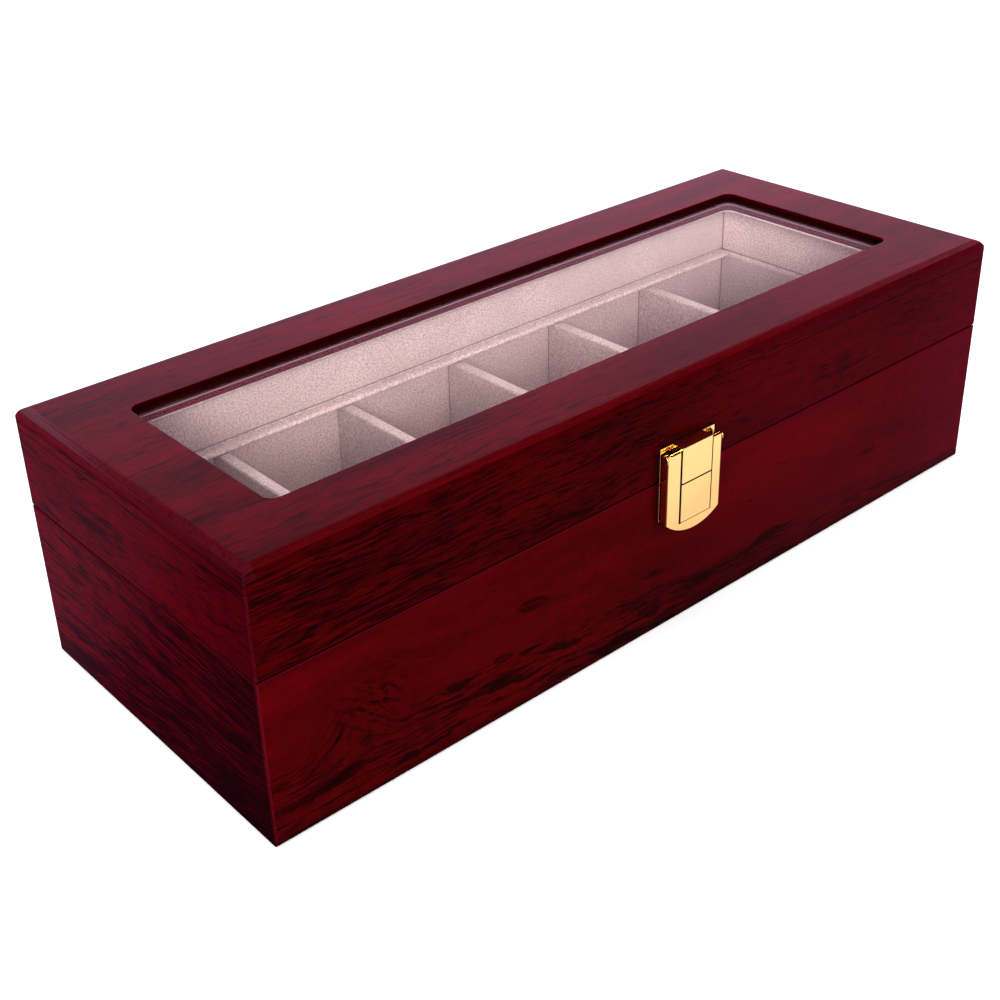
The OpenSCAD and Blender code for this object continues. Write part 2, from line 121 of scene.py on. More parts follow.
# The veneer's own marks. Middle along the board and up, and half length and half height, in mm
FRONT_EYES = ((-62.5, 34.0, 6.0, 2.1), (96.0, 24.0, 4.5, 1.0), (-74.5, 21.0, 3.5, 1.3))
END_EYES = ((-50.0, 29.0, 6.0, 2.6),)
FRONT_BUNCHES = ((-114, 40, 9, 2.5), (-12, 21.5, 12, 3.5), (44, 13, 10, 3),
                 (136, 28.5, 18, 2.5), (140, 21.5, 14, 2.5))

SQUARE_ON = 0.7       # a face looks along an axis if its normal reaches this far along it
OCCLUSION_SAMPLES = 8
WOOD_COAT_IOR = 1.06  # a weak coat: the photograph's lacquer mirrors little of its dim studio
GLASS_IOR = 1.065     # likewise

# Sizes of the detailed pieces, in metres
WINDOW_R = 3.5 * MM
CARD_CELL = 6 * MM
CARD_EDGE = 0.9 * MM
LATCH_EDGE = 0.18 * MM
HINGE_EDGE = 0.12 * MM
WINDOW_EDGE = 0.3 * MM


# ---------------------------------------------------------------- node helpers


class Recipe:
    """A material or world, and short calls for the nodes that it is made of."""

    def __init__(self, owner):
        self.owner = owner
        owner.use_nodes = True
        self.nodes = owner.node_tree.nodes
        self.links = owner.node_tree.links
        self.nodes.clear()

    def feed(self, socket, value):
        if isinstance(value, bpy.types.NodeSocket):
            self.links.new(value, socket)
        else:
            socket.default_value = value

    def node(self, kind, inputs=None, **settings):
        made = self.nodes.new(kind)
        for key, value in settings.items():
            setattr(made, key, value)
        for key, value in (inputs or {}).items():
            self.feed(made.inputs[key], value)
        return made

    def math(self, operation, *values, clamp=False):
        made = self.node("ShaderNodeMath", dict(enumerate(values)), operation=operation,
                         use_clamp=clamp)
        return made.outputs[0]

    def times(self, value, *others):
        for other in others:
            value = self.math("MULTIPLY", value, other)
        return value

    def plus(self, value, share, amount, clamp=False):
        """The value with so much of the amount added."""
        return self.math("MULTIPLY_ADD", share, amount, value, clamp=clamp)

    def minus(self, value, other):
        return self.math("SUBTRACT", value, other)

    def rest(self, share):
        """What is missing to 1."""
        return self.math("SUBTRACT", 1.0, share)

    def over(self, value, divisor):
        return self.math("DIVIDE", value, divisor)

    def size(self, value):
        return self.math("ABSOLUTE", value)

    def above(self, value, limit):
        """1 where the value is above the limit, else 0."""
        return self.math("GREATER_THAN", value, limit)

    def below(self, value, limit):
        return self.math("LESS_THAN", value, limit)

    def smooth(self, value, start, end):
        """0 below start, 1 above end, and a smooth step between them."""
        made = self.node("ShaderNodeMapRange", {
            "Value": value, "From Min": start, "From Max": end},
            interpolation_type="SMOOTHSTEP")
        return made.outputs["Result"]

    def hump(self, value, middle, width):
        """A bell curve: 1 at the middle, and near 0 two widths away."""
        offset = self.over(self.minus(value, middle), width)
        return self.math("EXPONENT", self.times(offset, offset, -1.0))

    def mix_value(self, share, low, high):
        made = self.node("ShaderNodeMix", {0: share, 2: low, 3: high}, data_type="FLOAT")
        return made.outputs[0]

    def mix_color(self, share, low, high, blend="MIX"):
        made = self.node("ShaderNodeMix", {0: share, 6: low, 7: high}, data_type="RGBA",
                         blend_type=blend)
        return made.outputs[2]

    def toned(self, color, tone):
        """The colour, paler or darker."""
        return self.mix_color(1.0, color, tone, "MULTIPLY")

    def vector(self, x, y, z):
        return self.node("ShaderNodeCombineXYZ", {0: x, 1: y, 2: z}).outputs[0]

    def split(self, vector):
        return self.node("ShaderNodeSeparateXYZ", {0: vector}).outputs

    def noise(self, vector, scale=1.0, detail=2.0, roughness=0.5, distortion=0.0):
        made = self.node("ShaderNodeTexNoise", {
            "Vector": vector, "Scale": scale, "Detail": detail, "Roughness": roughness,
            "Distortion": distortion})
        return made.outputs["Fac"]

    def openness(self, reach):
        """1 on an open face, about 0.5 in a corner and near 0 in a narrow gap. Reach is in mm. The
        materials use it to paint shade.
        """
        made = self.node("ShaderNodeAmbientOcclusion", {"Distance": reach * MM},
                         samples=OCCLUSION_SAMPLES)
        return made.outputs["AO"]

    def bump(self, height, distance, strength=1.0):
        made = self.node("ShaderNodeBump", {
            "Height": height, "Distance": distance, "Strength": strength})
        return made.outputs["Normal"]

    def place(self):
        """x, y and z of the point in the object's own frame, in millimetres."""
        point = self.node("ShaderNodeTexCoord").outputs["Object"]
        scaled = self.node("ShaderNodeVectorMath", {0: point, 3: 1 / MM}, operation="SCALE")
        return self.split(scaled.outputs[0])

    def facing(self):
        """x, y and z of the way the face looks, in the object's own frame."""
        return self.split(self.node("ShaderNodeTexCoord").outputs["Normal"])

    def finish(self, shader, kind="ShaderNodeOutputMaterial"):
        out = self.node(kind)
        self.links.new(shader, out.inputs["Surface"])
        return self.owner

    def principled(self, inputs):
        return self.finish(self.node("ShaderNodeBsdfPrincipled", inputs).outputs[0])


def recipe(name):
    return Recipe(bpy.data.materials.new(name))


# ---------------------------------------------------------------- materials


class Veneer:
    """Where a point of the wood is: its place, and masks of 0 or 1 for its face of the box."""

    def __init__(self, r):
        self.x, self.y, self.z = r.place()
        self.nx, self.ny, nz = r.facing()
        self.end = r.above(r.size(self.nx), SQUARE_ON)
        self.top = r.above(nz, SQUARE_ON)
        self.front = r.below(self.ny, -SQUARE_ON)
        self.lid = r.above(self.z, SEAM_Z)
        base = r.rest(self.lid)
        self.base_front = r.times(self.front, base)
        self.lid_front = r.times(self.front, self.lid)
        self.base_end = r.times(self.end, base)
        self.lid_end = r.times(self.end, self.lid)

        # How far the point is from the nearest side, and from the nearest side or the top
        self.rim = r.math("MINIMUM", r.minus(BOX_X, r.size(self.x)),
                          r.minus(BOX_Y, r.size(self.y)))
        self.inside = r.math("MINIMUM", self.rim, r.minus(BOX_Z, self.z))


def veneer_eyes(r, at, along, lines):
    """Small dark eyes in the figure: a soft outline round a streaked middle."""
    marks = 0.0
    for board, eyes in ((at.base_front, FRONT_EYES), (at.base_end, END_EYES)):
        for middle, height, half_long, half_tall in eyes:
            u = r.over(r.minus(along, middle), half_long)
            v = r.plus(r.over(r.minus(at.z, height), half_tall), u, 0.35)
            reach = r.math("SQRT", r.math("ADD", r.times(u, u), r.times(v, v)))
            inner = r.plus(r.plus(0.42, r.smooth(reach, 0.55, 0.9), 0.30), lines, 0.45, clamp=True)
            mark = r.times(r.rest(r.smooth(reach, 0.7, 1.3)), inner, board)
            marks = r.math("MAXIMUM", marks, mark)
    return marks


def veneer_bunches(r, at):
    """Places on the base's front where streaks bunch together."""
    bunches = 0.0
    for middle, height, half_long, half_tall in FRONT_BUNCHES:
        bunch = r.times(r.hump(at.x, middle, half_long), r.hump(at.z, height, half_tall),
                        at.base_front)
        bunches = r.math("MAXIMUM", bunches, bunch)
    return bunches


def board_tone_with_painted_light(r, at):
    """How pale the veneer is: by board, and slowly along each. Beyond the lid's darker front, it
    is painted light and shade.
    """
    tone = r.plus(0.84, at.lid_front, -0.20)
    # Painted light: the top is paler, more so to the right and towards the back, and the ends are
    # paler towards the back
    tone = r.plus(tone, at.top, r.plus(0.58, at.x, 0.0014))
    tone = r.plus(tone, r.times(at.top, r.rest(r.smooth(at.y, -50, 30))), -0.16)
    tone = r.plus(tone, at.end, r.plus(0.20, at.y, 0.008))
    # Painted shade: the low middle of the long sides is darker
    low_side_painted_shade = r.times(r.rest(r.math("MAXIMUM", at.top, at.end)), r.rest(r.smooth(at.z, 24, 42)))
    tone = r.plus(tone, r.times(low_side_painted_shade, r.hump(at.x, 32.0, 55.0)), -0.26)
    # Painted shade: the feet of the ends are darker
    foot_painted_shade = r.times(at.end, r.rest(r.smooth(at.z, 10, 24)))
    return r.plus(tone, foot_painted_shade, -0.22)


def grain_lines(r, at, across):
    """The way across the grain, in millimetres, with the bends of the lines on the base."""
    # The front board: an arch near its left end, and lines that sink gently to the right below it
    arch = r.times(r.hump(at.x, -125.0, 14.0), r.smooth(at.z, 12, 34),
                   r.rest(r.smooth(at.z, 38, 53)))
    sink = r.times(r.math("MAXIMUM", r.math("ADD", at.x, 109.0), 0.0), 0.065)
    low = r.rest(r.smooth(at.z, 18, 53))
    shift = r.plus(r.times(sink, low), arch, -13.0)
    across = r.plus(across, at.base_front, shift)

    # The ends: the lines run together towards the front
    closing = r.plus(1.0, r.minus(BOX_Y, at.y), -0.0042)
    gathered = r.math("ADD", r.over(r.minus(across, 30.0), closing), 30.0)
    return r.mix_value(at.base_end, across, gathered)


def streak_crowding(r, at, across, wander, in_arch):
    """0 where dark streaks are rare, and 1 where they crowd together."""
    below_arch = r.times(at.base_front, r.plus(0.42, r.smooth(across, 19, 27), -0.85))
    lid_left = r.times(at.lid_front, r.plus(0.45, r.smooth(at.x, -120, 30), -0.33))
    end_low = r.times(at.base_end, r.plus(
        0.75, r.smooth(r.plus(at.z, at.y, 0.55), -15, 75), -0.45))
    elsewhere = r.times(r.math("MAXIMUM", at.top, at.lid_end), 0.22)
    crowd = r.plus(0.40, wander, 1.2)
    for share in (below_arch, lid_left, end_low, elsewhere, r.times(in_arch, -0.5),
                  r.times(veneer_bunches(r, at), 0.7)):
        crowd = r.math("ADD", crowd, share)
    return r.math("MINIMUM", r.math("MAXIMUM", crowd, 0.0), 1.0)


def lacquered_wood():
    """Dark red figured veneer with near-black streaks, and plain red edges, under lacquer."""
    r = recipe("lacquered_wood")
    at = Veneer(r)
    along = r.mix_value(at.end, at.x, at.y)
    across = grain_lines(r, at, r.mix_value(at.top, at.z, at.y))

    # Each board has its own number, and so its own grain
    board = r.plus(r.times(at.top, 37.0), at.lid, 11.0)
    board = r.plus(board, at.end, r.plus(63.0, at.nx, 7.0))
    board = r.plus(board, r.rest(at.end), r.times(at.ny, 5.0))

    def grain(length, width, detail=2.0, seed=0.0, lane=None, roughness=0.5):
        """Noise that is stretched along the board: its length and width are in mm."""
        lane = across if lane is None else lane
        vector = r.vector(r.over(along, length), r.over(lane, width), r.math("ADD", board, seed))
        return r.noise(vector, detail=detail, roughness=roughness)

    def uneven(*size):
        return r.minus(grain(*size), 0.5)

    bent = r.plus(across, uneven(60, 22, 1.0, 3.0), 7.0)
    bent = r.plus(bent, uneven(16, 7, 1.0, 9.0), 2.4)
    bent = r.plus(bent, uneven(4.5, 2.5, 1.0, 10.0), 0.7)
    in_arch = r.times(r.hump(at.x, -120.0, 11.0), r.hump(at.z, 30.0, 9.0), at.base_front)
    crowd = streak_crowding(r, at, across, uneven(48, 9, 2.0, 7.0, bent), in_arch)

    def streaks(noise, rare, common, edge):
        """Dark where the noise is over a limit, which is lower where streaks crowd."""
        return r.smooth(r.minus(noise, r.mix_value(crowd, rare, common)), 0.0, edge)

    pores = streaks(grain(9, 0.75, 2.0, 11.0, bent, 0.6), 0.62, 0.44, 0.14)
    lines = streaks(grain(30, 1.5, 3.0, 12.0, bent, 0.65), 0.70, 0.47, 0.09)
    bold = streaks(grain(20, 3.0, 3.0, 13.0, bent, 0.6), 0.76, 0.48, 0.09)
    patches = streaks(grain(30, 7.0, 4.0, 17.0, bent, 0.6), 0.85, 0.56, 0.08)
    core = r.smooth(grain(7, 0.8, 2.0, 31.0, bent, 0.6), 0.42, 0.55)
    eyes = veneer_eyes(r, at, along, core)

    # Short ripples that cut across the grain, inside the arch
    slant = r.plus(r.times(at.z, -0.64), at.x, 0.77)
    rise = r.plus(r.times(at.z, 0.77), at.x, 0.64)
    ripples = r.smooth(r.noise(r.vector(r.over(slant, 5), r.over(rise, 1.7), 4.0), detail=2.0),
                       0.50, 0.60)

    # The ground colour, from broad bands down to a fine fuzz
    bands = r.smooth(grain(90, 14, 3.0, 1.0, bent), 0.25, 0.75)
    mottle = grain(6.0, 3.0, 3.0, 21.0, roughness=0.65)
    fuzz = grain(2.2, 0.8, 2.0, 23.0, bent, 0.6)
    glow = r.plus(bands, r.minus(mottle, 0.5), 1.0)
    glow = r.plus(glow, r.minus(fuzz, 0.5), 0.7)
    color = r.mix_color(glow, WOOD_DEEP, WOOD_BRIGHT)

    # The marks on it. They are faded on the top, and the coarse ones are weaker on some boards
    faded = r.times(at.top, r.plus(0.20, r.smooth(at.x, -150, 60), 0.33))
    fine = r.rest(faded)
    coarse = r.plus(0.85, at.lid_front, -0.7)
    coarse = r.plus(coarse, at.lid_end, -0.6)
    coarse = r.plus(coarse, at.base_end, -0.2)
    coarse = r.plus(coarse, faded, -0.85)
    for mark, strength in ((pores, r.times(fine, r.plus(0.60, at.lid_front, 0.20))),
                           (lines, r.times(fine, r.plus(0.85, at.lid_front, -0.12))),
                           (bold, coarse), (patches, r.times(coarse, 0.75)),
                           (r.times(ripples, in_arch), 0.9), (eyes, 0.92)):
        color = r.mix_color(r.times(mark, strength), color, WOOD_STREAK)

    # The veneer stops at the rounded edges, which are plain red with a thin dark line along them
    plain = r.smooth(at.inside, 0.05, 0.10)
    line = r.times(r.smooth(at.inside, 0.02, 0.05), r.rest(r.smooth(at.inside, 0.08, 0.14)))
    line = r.times(line, r.plus(r.times(at.front, 0.20), at.end, 0.50), at.lid)
    worn = r.plus(r.times(fuzz, 0.35), pores, 0.45)
    # Painted reflection: the top edges of the ends are tinted purple
    side_edge_painted_reflection = r.times(r.above(r.size(at.x), BOX_X - TOP_EDGE), r.above(at.z, BOX_Z - TOP_EDGE))
    edge_color_and_painted_light = r.mix_color(side_edge_painted_reflection, WOOD_EDGE, WOOD_SIDE_EDGE_PAINTED_REFLECTION)
    # Painted highlight: the lower edges, the eased uprights and the seam, are painted paler and
    # pinker
    edge_color_and_painted_light = r.mix_color(r.below(at.z, BOX_Z - LOW_EDGE_FROM), edge_color_and_painted_light, WOOD_LOW_EDGE_PAINTED_HIGHLIGHT)
    color = r.mix_color(plain, color, r.mix_color(worn, edge_color_and_painted_light, WOOD_STREAK))
    color = r.mix_color(line, color, WOOD_STREAK)
    color = r.mix_color(r.smooth(at.inside, 3.0, RAW_WOOD_FROM), color, WOOD_DEEP)

    # Painted reflection: the right half of the front is painted paler and more purple
    painted_reflection = r.times(at.front, r.plus(
        r.times(r.smooth(at.x, -20, 60), 0.09), r.smooth(at.x, 105, 150), 0.20))
    color = r.mix_color(painted_reflection, color, WOOD_PAINTED_REFLECTION)
    # The boards' tones, which carry painted light and shade
    color = r.toned(color, board_tone_with_painted_light(r, at))

    # Painted shade: gaps and corners are darkened by how closed in they are. The beads below the
    # glass are seen only through it, plain and free of this painted shade
    below_glass = r.times(r.below(at.z, GLASS_Z), r.above(at.z, BEAD_Z - 0.1),
                          r.above(at.rim, WINDOW_FROM))
    shade = r.plus(0.15, r.smooth(r.openness(8), 0.30, 0.95), 0.85)
    color = r.toned(color, r.mix_value(below_glass, shade, 1.0))
    color = r.mix_color(below_glass, color, WOOD_BEAD)

    edge = r.times(plain, r.rest(r.smooth(at.inside, 4.0, 5.0)))
    gloss = r.plus(1.0, at.front, -0.55)
    gloss = r.plus(gloss, r.times(edge, r.rest(at.front)), -0.6)
    orange_peel = r.noise(r.vector(at.x, at.y, at.z), 1 / 9, 1.0)
    return r.principled({
        "Base Color": color, "Roughness": 0.5, "Specular IOR Level": 0.0,
        "Coat Weight": r.times(gloss, r.rest(below_glass)), "Coat Roughness": 0.09,
        "Coat IOR": WOOD_COAT_IOR,
        "Normal": r.bump(r.math("MAXIMUM", pores, lines), 0.02 * MM, 0.4),
        "Coat Normal": r.bump(orange_peel, 0.02 * MM, 0.5)})


def velvet():
    """Short pinkish beige pile, with a brushed, uneven nap and a fine speckle."""
    r = recipe("velvet")
    x, y, z = r.place()
    point = r.vector(x, y, z)
    nap = r.noise(point, 1 / 14, 2.0)
    speckle = r.noise(point, 1 / 0.65, 2.0, 0.7)
    tuft = r.noise(point, 1 / 0.22, 1.0, 0.6)
    base = r.mix_color(r.smooth(nap, 0.3, 0.7), VELVET_LOW_NAP, VELVET_HIGH_NAP)
    color = r.mix_color(r.smooth(speckle, 0.30, 0.70), r.mix_color(0.90, base, VELVET_DARK), base)

    # Painted shade: the velvet darkens towards the bottom, and the cross walls of the compartments
    # are darker, most at the left
    nx, _, nz = r.facing()
    across = r.smooth(r.size(nx), 0.3, 0.9)
    in_slot = r.below(z, DIVIDER_Z + 0.1)
    tone = r.plus(1.0, r.rest(r.smooth(z, 10, 50)), -0.08)
    tone = r.plus(tone, r.times(in_slot, across), r.plus(-0.25, r.smooth(x, -60, 0), 0.14))

    # Painted shade and light: the walls' upper edges are painted a little darker, and the ledge,
    # which looks up, is painted paler
    crest_painted_shade = r.times(in_slot, r.smooth(nz, 0.6, 0.9), r.smooth(z, DIVIDER_Z - 1.5, DIVIDER_Z - 0.5))
    tone = r.plus(tone, crest_painted_shade, -0.13)
    tone = r.plus(tone, r.times(r.rest(in_slot), r.below(z, LIP_Z + 0.1)), 0.16)

    # The light fades towards the top of the lid's long sides, and under the window's edge
    in_lid = r.above(z, LIP_Z + 0.1)
    fade = r.mix_value(across, r.plus(0.06, r.smooth(z, 60, 77), 0.12), -0.15)
    tone = r.plus(tone, r.times(in_lid, fade), -1.0)
    tone = r.plus(tone, r.smooth(z, 77.6, 78.8), -0.30)
    # Painted shade: the velvet is darker in creases and corners
    crease_painted_shade = r.plus(0.5, r.smooth(r.openness(1.6), 0.15, 0.55), 0.5)
    height = r.math("ADD", r.times(speckle, 0.6), r.times(tuft, 0.4))
    return r.principled({
        "Base Color": r.toned(color, r.times(tone, crease_painted_shade)), "Roughness": 0.95,
        "Specular IOR Level": 0.1, "Sheen Weight": 0.25, "Sheen Roughness": 0.45,
        "Sheen Tint": VELVET_SHEEN, "Normal": r.bump(height, 0.12 * MM, 0.8)})


def felt():
    """Matt dark red felt of pressed, tangled fibres."""
    r = recipe("felt")
    point = r.vector(*r.place())
    fibres = r.noise(point, 1 / 0.7, 4.0, 0.7, 1.5)
    patches = r.noise(point, 1 / 20, 2.0)
    color = r.mix_color(fibres, FELT_DEEP, FELT_BRIGHT)
    color = r.mix_color(r.times(patches, 0.4), color, FELT_PATCH)
    return r.principled({
        "Base Color": color, "Roughness": 1.0, "Specular IOR Level": 0.1,
        "Sheen Weight": 0.3, "Normal": r.bump(fibres, 0.2 * MM, 0.8)})


def gold():
    """Polished gold-coloured plating, with faint polishing marks and softly worn patches. Painted
    light makes it redder towards its lower right, and painted shade dark red in crevices."""
    r = recipe("gold")
    x, y, z = r.place()
    marks = r.noise(r.vector(r.over(x, 0.12), r.over(y, 0.12), r.over(z, 4.0)), detail=2.0)
    patches = r.noise(r.vector(x, y, z), 1 / 5, 2.0)
    color = r.mix_color(patches, GOLD_DEEP, GOLD_PALE)
    # Painted light: the gold is redder towards its lower right
    painted_warm_light = r.rest(r.smooth(r.plus(z, x, -0.5), 40, 60))
    color = r.mix_color(painted_warm_light, color, GOLD_PAINTED_WARM_LIGHT)
    # Painted shade: the gold is dark red in crevices
    color = r.mix_color(r.smooth(r.openness(2.2), 0.32, 0.72), GOLD_PAINTED_CREVICE_SHADE, color)
    return r.principled({
        "Base Color": color, "Metallic": 1.0, "Roughness": r.plus(0.10, marks, 0.06),
        "Normal": r.bump(marks, 0.004 * MM, 0.4)})


def silicone():
    """Pale grey, slightly clouded sealing strip. Its face on the glass is painted dark red, a
    painted reflection of the window's wall.
    """
    r = recipe("seal")
    cloud = r.noise(r.vector(*r.place()), 1 / 3, 3.0)
    color = r.mix_color(cloud, SEAL_DEEP, SEAL_PALE)
    # Painted reflection: the face on the glass is dark red
    color = r.mix_color(r.above(r.facing()[2], SQUARE_ON), color, SEAL_PAINTED_REFLECTION)
    return r.principled({
        "Base Color": color, "Roughness": r.plus(0.3, cloud, 0.2),
        "Subsurface Weight": 0.2, "Subsurface Radius": (0.3 * MM, 0.3 * MM, 0.3 * MM),
        "Normal": r.bump(cloud, 0.05 * MM, 0.5)})


def clear_glass():
    """Thin clear pane: it reflects by angle and lets light and shadow rays straight through."""
    r = recipe("glass")
    smear = r.noise(r.vector(*r.place()), 1 / 35, 2.0)
    rough = r.times(r.smooth(smear, 0.4, 0.8), 0.03)
    clear = r.node("ShaderNodeBsdfTransparent", {"Color": GLASS_TINT})
    gloss = r.node("ShaderNodeBsdfGlossy", {"Color": (1, 1, 1, 1), "Roughness": rough})
    fresnel = r.node("ShaderNodeFresnel", {"IOR": GLASS_IOR})
    inner = r.node("ShaderNodeNewGeometry").outputs["Backfacing"]
    share = r.times(fresnel.outputs[0], r.rest(inner))
    mixed = r.node("ShaderNodeMixShader", {0: share, 1: clear.outputs[0], 2: gloss.outputs[0]})
    return r.finish(mixed.outputs[0])


MATERIALS = {"lacquered_wood": lacquered_wood(), "velvet": velvet(), "felt": felt(),
             "gold": gold(), "glass": clear_glass(), "seal": silicone()}
SLOT_OF = {row["node"]: row["material_slot"] for row in frame["record"]["subparts"]}
BODY_OF = {node: body for body, nodes in frame["record"]["behaviour"]["bodies"].items()
           for node in nodes}


# ---------------------------------------------------------------- pieces


def add_piece(name, bm, node):
    """A new smooth object that stands for one CAD node, on its body and with its material."""
    mesh = bpy.data.meshes.new(node)
    bm.to_mesh(mesh)
    bm.free()
    mesh.shade_smooth()
    made = bpy.data.objects.new(name, mesh)
    bpy.context.scene.collection.objects.link(made)
    mesh.materials.clear()
    mesh.materials.append(MATERIALS[SLOT_OF[node]])
    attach(made, BODY_OF[node])
    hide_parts(node)
    return made


def cut_into_cells(bm, low, high, cell):
    """Cuts a closed mesh by planes along X, Y and Z, so that it can bend."""
    for axis in range(3):
        count = max(1, round((high[axis] - low[axis]) / cell))
        for i in range(1, count):
            point = Vector(low)
            point[axis] = low[axis] + (high[axis] - low[axis]) * i / count
            normal = Vector((0, 0, 0))
            normal[axis] = 1
            everything = bm.verts[:] + bm.edges[:] + bm.faces[:]
            bmesh.ops.bisect_plane(bm, geom=everything, plane_co=point, plane_no=normal)


def wrapped_card(node, edge, wander=0.10 * MM, settled=3 * MM, wave=13 * MM):
    """A card wrapped in velvet: rounded edges, and faces that wander a little away from them."""
    low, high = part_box(node)
    bm = bmesh.new()
    bmesh.ops.create_cube(bm, size=1)
    for v in bm.verts:
        v.co = Vector(((high[i] + low[i]) / 2 + v.co[i] * (high[i] - low[i]) for i in range(3)))
    bmesh.ops.bevel(bm, geom=bm.edges[:], offset=edge, segments=3, profile=0.5,
                    affect="EDGES", clamp_overlap=True)
    cut_into_cells(bm, low, high, CARD_CELL)
    bm.normal_update()
    for v in bm.verts:
        if max(map(abs, v.normal)) <= 0.5:
            inside = 0
        else:
            inside = min(min(v.co[i] - low[i], high[i] - v.co[i]) for i in range(3)
                         if abs(v.normal[i]) < 0.5)
        settle = min(1.0, max(0.0, inside / settled))
        v.co -= v.normal * wander * settle * (0.5 + noise.noise(v.co / wave))
    return add_piece("velvet_" + node, bm, node)


def soft_edged(node, width, angle=30):
    """A copy of a CAD node whose sharp edges are broken, as on a cast or pressed piece."""
    bm = bmesh.new()
    bm.from_mesh(frame["nodes"][node].data)
    bmesh.ops.remove_doubles(bm, verts=bm.verts, dist=0.001 * MM)
    bmesh.ops.dissolve_limit(bm, angle_limit=math.radians(1), verts=bm.verts, edges=bm.edges)
    sharp = [e for e in bm.edges if len(e.link_faces) == 2
             and e.calc_face_angle(0) > math.radians(angle)]
    bmesh.ops.bevel(bm, geom=sharp, offset=width, segments=3, profile=0.5,
                    affect="EDGES", clamp_overlap=True)
    made = add_piece("eased_" + node, bm, node)
    weighted = made.modifiers.new("weighted", "WEIGHTED_NORMAL")
    weighted.keep_sharp = True
    return made


def dress_cad_nodes():
    for node, piece in frame["nodes"].items():
        for place in piece.material_slots:
            place.material = MATERIALS[SLOT_OF[node]]


def rounded_loop(half_x, half_y, radius, steps=6):
    """Points round a rectangle with rounded corners."""
    points = []
    for corner, (sx, sy) in enumerate(((1, 1), (-1, 1), (-1, -1), (1, -1))):
        middle = Vector((sx * (half_x - radius), sy * (half_y - radius)))
        for i in range(steps + 1):
            angle = math.radians(90 * (corner + i / steps))
            points.append(middle + radius * Vector((math.cos(angle), math.sin(angle))))
    return points


def ceiling_frame(node="lid_ceiling_lining", steps=6):
    """Velvet glued round the underside of the window, turned over its inner edge."""
    low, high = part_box(node)
    corners = [v.co for v in frame["nodes"][node].data.vertices]
    thick = high.z - low.z
    open_x, open_y = (max(abs(c[i]) for c in corners if abs(c[i]) < high[i] - thick)
                      for i in range(2))
    reach = high.x - open_x
    roll = thick / 2
    section = [(reach, low.z)]
    section += [(reach - (reach - roll) * i / 3, low.z) for i in range(1, 3)]
    for i in range(steps + 1):
        angle = math.radians(-90 - 180 * i / steps)
        section.append((roll + roll * math.cos(angle), low.z + roll + roll * math.sin(angle)))
    section.append((reach, high.z))
    bm = bmesh.new()
    rings = []
    for outward, height in section:
        loop = rounded_loop(open_x + outward, open_y + outward, WINDOW_R + outward * 0.2)
        rings.append([bm.verts.new((p.x, p.y, height)) for p in loop])
    for ring, following in zip(rings, rings[1:] + rings[:1]):
        for i in range(len(ring)):
            j = (i + 1) % len(ring)
            bm.faces.new((ring[i], ring[j], following[j], following[i]))
    bmesh.ops.recalc_face_normals(bm, faces=bm.faces)
    return add_piece("velvet_" + node, bm, node)


def swell(share):
    """The height of a pad across its width: 0 at both edges and 1 over most of the middle."""
    return 1 - abs(2 * share - 1) ** 4


def padded_floor(node="floor_lining", crown=0.8 * MM, wave=9 * MM, steps=14):
    """A thinly padded floor card: its velvet swells a little in each compartment."""
    low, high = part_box(node)
    walls = [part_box("base_lining_left")[1].x]
    for number in range(1, 6):
        walls += [c.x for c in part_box(f"divider_{number}")]
    walls.append(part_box("base_lining_right")[0].x)
    front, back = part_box("base_lining_front")[1].y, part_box("base_lining_back")[0].y

    # Each row and column of the grid, with how far the pad has swelled there
    xs, ys = [(low.x, 0)], [(low.y, 0)]
    for start, end in zip(walls[::2], walls[1::2]):
        xs += [(start + (end - start) * i / steps, swell(i / steps)) for i in range(steps + 1)]
    ys += [(front + (back - front) * i / (2 * steps), swell(i / (2 * steps)))
           for i in range(2 * steps + 1)]
    xs.append((high.x, 0))
    ys.append((high.y, 0))

    def height(x, u, y, v):
        return high.z + crown * u * v * (0.9 + 0.2 * noise.noise(Vector((x, y, 0)) / wave))

    bm = bmesh.new()
    grid = [[bm.verts.new((x, y, height(x, u, y, v))) for y, v in ys] for x, u in xs]
    under = [[bm.verts.new((x, y, low.z)) for y, _ in ys] for x, _ in xs]
    for i in range(len(xs) - 1):
        for j in range(len(ys) - 1):
            bm.faces.new((grid[i][j], grid[i + 1][j], grid[i + 1][j + 1], grid[i][j + 1]))
            bm.faces.new((under[i][j], under[i][j + 1], under[i + 1][j + 1], under[i + 1][j]))
    for i in range(len(xs) - 1):
        bm.faces.new((under[i][0], under[i + 1][0], grid[i + 1][0], grid[i][0]))
        bm.faces.new((grid[i][-1], grid[i + 1][-1], under[i + 1][-1], under[i][-1]))
    for j in range(len(ys) - 1):
        bm.faces.new((grid[0][j], grid[0][j + 1], under[0][j + 1], under[0][j]))
        bm.faces.new((under[-1][j], under[-1][j + 1], grid[-1][j + 1], grid[-1][j]))
    made = add_piece("velvet_" + node, bm, node)
    return made


def line_box():
    for node in SLOT_OF:
        if SLOT_OF[node] == "velvet" and node not in ("lid_ceiling_lining", "floor_lining"):
            thick = min(h - l for l, h in zip(*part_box(node)))
            wrapped_card(node, edge=min(CARD_EDGE, 0.45 * thick))
    ceiling_frame()
    padded_floor()


def finish_metal():
    for node in SLOT_OF:
        if SLOT_OF[node] == "gold":
            soft_edged(node, LATCH_EDGE if node.startswith("latch") else HINGE_EDGE)


def ease_window():
    """The top panel's sharp edges round the window are broken by sanding."""
    soft_edged("lid_top_panel", WINDOW_EDGE, angle=60)


# ---------------------------------------------------------------- stage, camera and light


